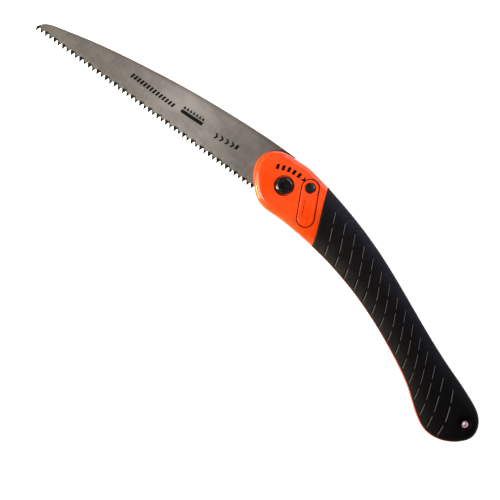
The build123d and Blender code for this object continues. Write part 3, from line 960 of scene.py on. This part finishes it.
def head_mark_shapes():
    """Five bars in a shallow arc over the pivot and an arrowhead that points at the lock."""
    shapes = []
    line = open_curve(HEAD_MARK_LINE, 60)
    for spot in (0, 13, 26, 39, 52):
        run = line[min(spot + 2, 59)] - line[max(spot - 2, 0)]
        shapes.append(bar(line[spot], 2.4, 4.0, math.atan2(run[1], run[0]), slant=0.12))
    shapes.append(wedge(ARROW_TIP, ARROW_BACK, 5.0))
    return shapes


def build_rivet(material):
    """Tubular rivet: a thin tube whose ends are rolled outwards to flat flanges, carried round
    its axis."""
    top = EYE_HIGH.z / MM
    low = EYE_LOW.z / MM
    roll = np.linspace(math.pi, -math.pi * 0.3, 16)
    upper = [(2.15 + 0.83 * math.cos(t), top - 0.42 + 0.42 * math.sin(t)) for t in roll]
    lower = [(2.0 + 0.5 * math.cos(t), low + 0.42 - 0.42 * math.sin(t)) for t in roll[::-1]]
    profile = [(1.3, low + 0.6), (1.3, top - 0.7)] + upper + [(2.1, top - 1.0)] \
        + [(2.1, low + 0.6)] + lower
    return revolve("tail_eyelet", profile, EYE_AT, material)


def painted_shadow_rings():
    """Flat rings of painted shadow round the screw head and round the lever, each a strip between
    two outlines a third of a millimetre apart."""
    count = 120
    ray = round_rays(count)
    lever = LEVER_FOOT - LOCK_AT
    ahead = (ray @ lever) > 0
    ends = np.where(ahead[:, None], LEVER_FOOT, LOCK_AT)
    rings = [(np.zeros_like(ray), SCREW_SEAT_R), (ends, LEVER_GAP_R)]
    plans = [np.stack([middle + ray * (radius + step) for step in (0, SHADOW_RING_WIDE)], 1)
             for middle, radius in rings]
    points = place(np.stack(plans), HEAD_TOP + 0.015)
    faces = np.concatenate([grid_faces(count, 2, wrap_rows=True, start=i * 2 * count)
                            for i in range(2)])
    piece = make_piece("painted_gap_shadow", points, faces, painted_shadow_finish())
    thicken(piece, 0.01)
    return piece


# ---------------------------------------------------------------- operators

class SAW_OT_blade(bpy.types.Operator):
    """Make the toothed blade and its tang"""

    bl_idname = "saw.blade"
    bl_label = "Blade"

    def execute(self, context):
        settings = context.scene.saw_blade
        steel = blade_finish(settings.colour)
        blade = build_blade(settings, steel)
        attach(blade, "blade")
        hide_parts("blade")
        tang = build_tang(steel)
        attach(tang, "blade")
        return {"FINISHED"}


class SAW_OT_grips(bpy.types.Operator):
    """Make the two soft grips"""

    bl_idname = "saw.grips"
    bl_label = "Grips"

    def execute(self, context):
        settings = context.scene.saw_grip
        rubber = grip_finish(settings.colour)
        for name, node, flip in (("front_grip_skin", "grip_front", False),
                                 ("back_grip_skin", "grip_back", True)):
            grip = build_grip(settings, name, flip, rubber)
            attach(grip, "handle")
            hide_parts(node)
        return {"FINISHED"}


class SAW_OT_casing(bpy.types.Operator):
    """Finish the orange casing halves and the lock lever"""

    bl_idname = "saw.casing"
    bl_label = "Casing"

    def execute(self, context):
        orange = casing_finish(context.scene.saw_casing.colour)
        for node in ("shell_front", "shell_back", "lock_lever"):
            dress_node(node, orange)
        return {"FINISHED"}


class SAW_OT_marks(bpy.types.Operator):
    """Print the plain marks on blade and head"""

    bl_idname = "saw.marks"
    bl_label = "Marks"

    def execute(self, context):
        ink = ink_finish(context.scene.saw_casing.ink)
        blade = flat_marks("blade_marks", blade_mark_shapes(), MID + PLATE / 2, 0.02, ink)
        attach(blade, "blade")
        head = flat_marks("head_marks", head_mark_shapes(), HEAD_TOP, 0.02, ink)
        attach(head, "handle")
        # Rings of painted shadow in the gaps round the screw head and the lever
        shadow_rings = painted_shadow_rings()
        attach(shadow_rings, "handle")
        return {"FINISHED"}


class SAW_OT_fittings(bpy.types.Operator):
    """Finish screws, nut, washers, pins and springs, and make the eyelet"""

    bl_idname = "saw.fittings"
    bl_label = "Fittings"

    def execute(self, context):
        black = steel_finish("fitting_black", (0.018, 0.018, 0.02), 0.35, 0.22, 0.2)
        bright = steel_finish("fitting_bright", (0.62, 0.60, 0.57))
        eyelet = steel_finish("rolled_eyelet", (0.56, 0.33, 0.38), 0.15, 0.55)
        nylon = nylon_finish()
        dress_node("pivot_screw", gloss_finish())
        for node in ("lock_button", "handle_screws", "lever_pin"):
            dress_node(node, black)
        for node in ("head_washer", "pivot_nut", "spring_washer", "pivot_bush",
                     "lock_pin", "lock_clip", "lock_spring", "stop_pin"):
            dress_node(node, bright)
        for node in ("thrust_washer_front", "thrust_washer_back"):
            dress_node(node, nylon)
        dress_node("tail_washer", eyelet)
        rivet = build_rivet(eyelet)
        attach(rivet, "handle")
        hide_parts("tail_rivet")
        return {"FINISHED"}


def seen_from(bearing, height, distance, roll):
    """Place at a distance from the saw's middle. The bearing is counted anticlockwise from the
    right of the camera's view, and the height is an angle over the floor."""
    turn = math.radians(bearing) + roll
    rise = math.radians(height)
    return (distance * math.cos(rise) * math.cos(turn), distance * math.cos(rise) * math.sin(turn),
            distance * math.sin(rise))


def area_light(name, spot, size, power, colour=(1, 1, 1)):
    """Soft rectangular light aimed at the saw's middle."""
    data = bpy.data.lights.new(name, "AREA")
    data.shape = "RECTANGLE"
    data.size, data.size_y = size
    data.energy = power
    data.color = colour
    light = bpy.data.objects.new(name, data)
    light.location = spot
    light.rotation_euler = (-light.location).to_track_quat("-Z", "Y").to_euler()
    light.visible_camera = False
    bpy.context.scene.collection.objects.link(light)
    return light


class SAW_OT_stage(bpy.types.Operator):
    """Make the pale floor, the soft lights and the camera"""

    bl_idname = "saw.stage"
    bl_label = "Stage"

    def execute(self, context):
        settings = context.scene.saw_stage
        self.floor()
        self.lights(settings)
        self.camera(settings)
        return {"FINISHED"}

    def floor(self):
        f = Finish("floor_white")
        mottle = f.noise(f.coords(), 3, 3)
        f.shade(Base_Color=f.blend(mottle, rgb((0.92, 0.92, 0.92)), rgb((0.95, 0.95, 0.95))),
                Roughness=0.9, Specular_IOR_Level=0.1, Emission_Color=rgb((1, 1, 1)),
                Emission_Strength=0.8)
        side = np.linspace(-3, 3, 9)
        x, y = np.meshgrid(side, side, indexing="ij")
        points = np.stack([x, y, np.full_like(x, -0.0004)], -1)
        floor = make_piece("floor", points, grid_faces(9, 9), f.material)

    def lights(self, settings):
        world = bpy.data.worlds.new("studio")
        world.use_nodes = True
        ground = world.node_tree.nodes["Background"]
        ground.inputs["Color"].default_value = (1, 1, 1, 1)
        ground.inputs["Strength"].default_value = settings.surround
        bpy.context.scene.world = world
        roll = settings.roll
        area_light("key", seen_from(188, 42, 1.1, roll), (0.5, 0.5), settings.key,
                   (1.0, 0.97, 0.88))
        area_light("rim", seen_from(40, 25, 1.3, roll), (1.2, 0.5), settings.key * 0.8,
                   (0.94, 0.96, 1.0))
        area_light("low", seen_from(200, 62, 0.75, roll), (0.15, 0.15), settings.key * 0.15)
        area_light("side", seen_from(192, 8, 0.3, roll), (0.12, 0.05), settings.key * 0.09,
                   (1.0, 0.95, 0.30))
        over_blade = (PIVOT.x - 0.095, PIVOT.y - 0.006, 0.073)  # looks straight down
        lamp = area_light("blade_sheen", over_blade, (0.05, 0.05), settings.key * 0.0011)
        lamp.rotation_euler = (0, 0, 0)

    def camera(self, settings):
        scene = bpy.context.scene
        data = bpy.data.cameras.new("camera")
        data.lens = 250
        data.sensor_width = 36
        data.clip_start = 0.05
        data.clip_end = 20
        distance = settings.view_width * data.lens / data.sensor_width
        camera = bpy.data.objects.new("camera", data)
        camera.location = PIVOT + Vector((*CAMERA_SHIFT, distance))
        camera.rotation_euler = (0, 0, settings.roll)
        scene.collection.objects.link(camera)
        scene.camera = camera
        scene.view_settings.view_transform = "Standard"
        scene.view_settings.look = "None"


class SAW_PT_panel(bpy.types.Panel):
    """Sidebar panel that lists the saw's pieces"""

    bl_label = "Pruning Saw"
    bl_idname = "SAW_PT_panel"
    bl_space_type = "VIEW_3D"
    bl_region_type = "UI"
    bl_category = "Saw"

    def draw(self, context):
        for operator in PIECE_OPERATORS:
            self.layout.operator(operator.bl_idname)


PIECE_OPERATORS = (SAW_OT_blade, SAW_OT_grips, SAW_OT_casing, SAW_OT_marks, SAW_OT_fittings,
                   SAW_OT_stage)
SETTINGS = {"saw_blade": SawBladeSettings, "saw_grip": SawGripSettings,
            "saw_casing": SawCasingSettings, "saw_stage": SawStageSettings}


def register():
    for name, group in SETTINGS.items():
        bpy.utils.register_class(group)
        setattr(bpy.types.Scene, name, PointerProperty(type=group))
    for cls in (*PIECE_OPERATORS, SAW_PT_panel):
        bpy.utils.register_class(cls)


def unregister():
    for cls in (SAW_PT_panel, *reversed(PIECE_OPERATORS)):
        bpy.utils.unregister_class(cls)
    for name, group in SETTINGS.items():
        delattr(bpy.types.Scene, name)
        bpy.utils.unregister_class(group)


def main():
    register()
    for operator in PIECE_OPERATORS:
        family, name = operator.bl_idname.split(".")
        getattr(getattr(bpy.ops, family), name)()


if __name__ == "__main__":
    main()
